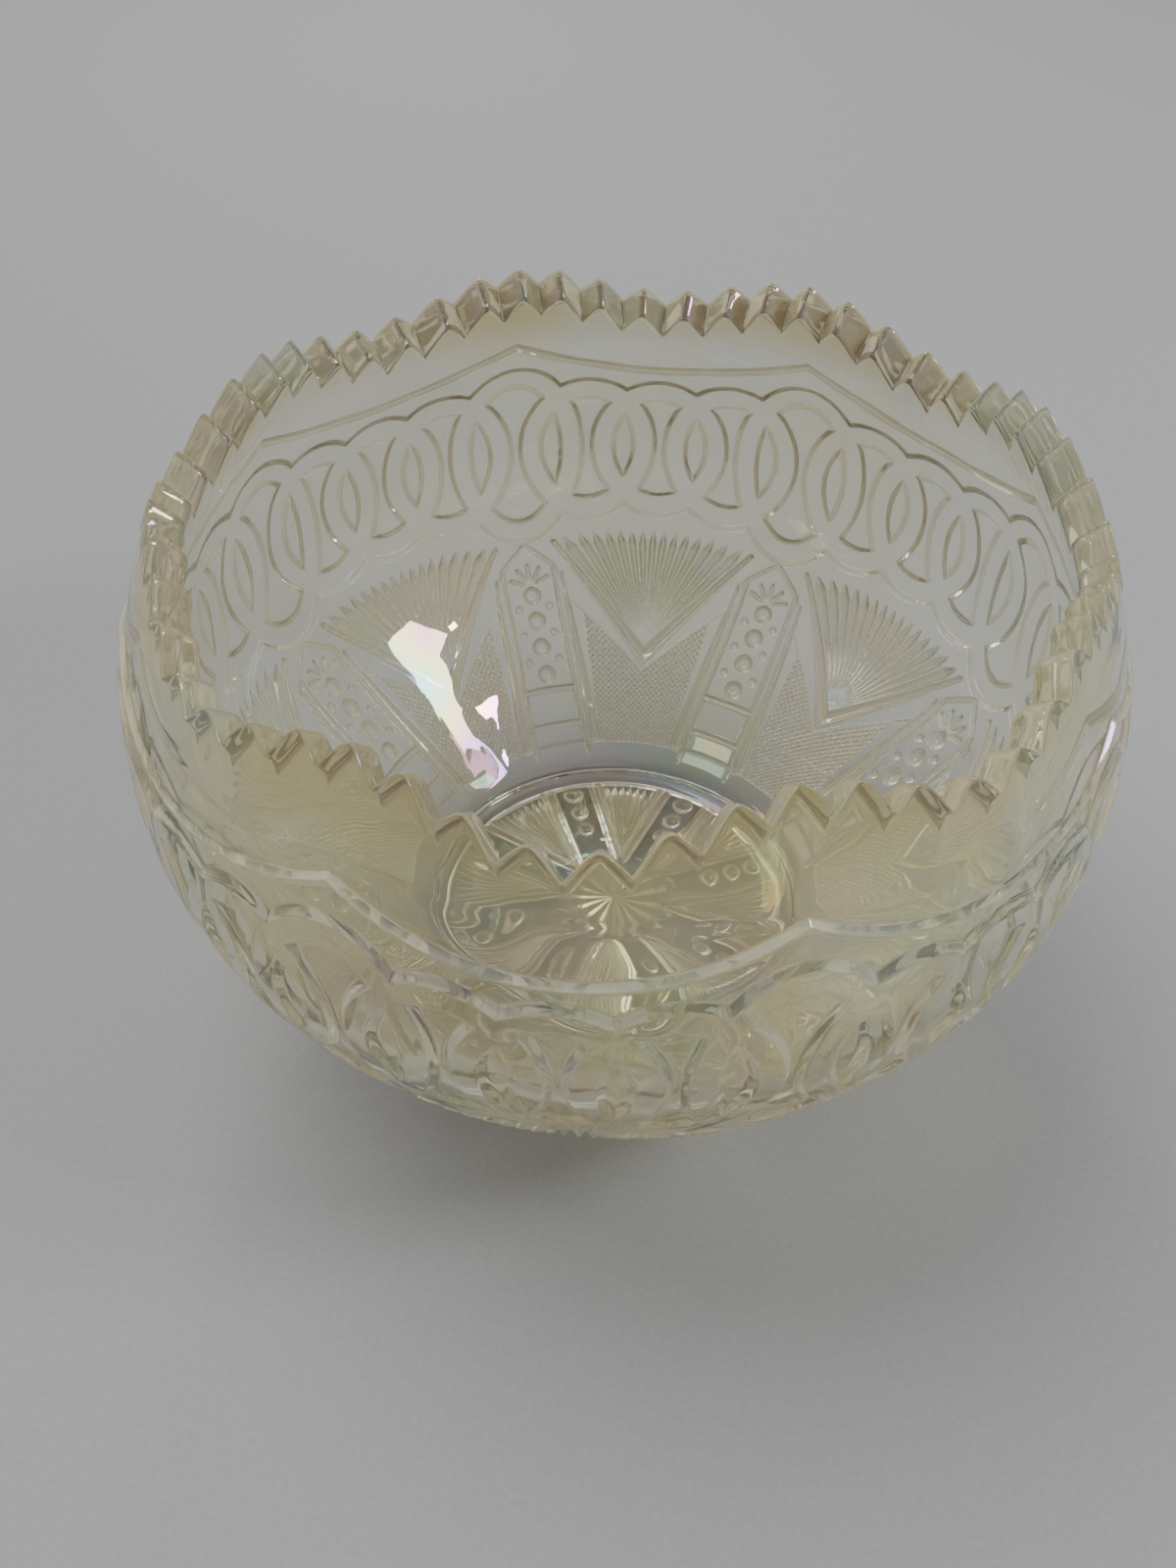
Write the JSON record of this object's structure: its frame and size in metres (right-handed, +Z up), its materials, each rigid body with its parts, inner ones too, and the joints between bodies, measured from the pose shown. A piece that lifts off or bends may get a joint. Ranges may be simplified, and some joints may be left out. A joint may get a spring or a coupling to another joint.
{
  "type": "pressed glass bowl",
  "caption": "Deep round pressed-glass bowl with an incurved scalloped sawtooth rim, a chain of overlapping rings, fan panels, bead columns and a star base.",
  "frame": {"origin": "middle of the standing ring, on the plane the bowl stands on", "axes": "+Z up along the bowl's axis; +Y through the middle of a fan panel"},
  "size_m": [0.1924, 0.1924, 0.1246],
  "materials": {
    "iridescent_glass": "glossy pale straw-tinted clear glass, amber where it is thick, with a faint pink and green iridescent sheen"
  },
  "bodies": {
    "root": {"base_star": "iridescent_glass", "foot_ring": "iridescent_glass", "fan_panels": "iridescent_glass", "ring_chain": "iridescent_glass", "border_collar": "iridescent_glass", "sawtooth_rim": "iridescent_glass"}
  },
  "joints": []
}
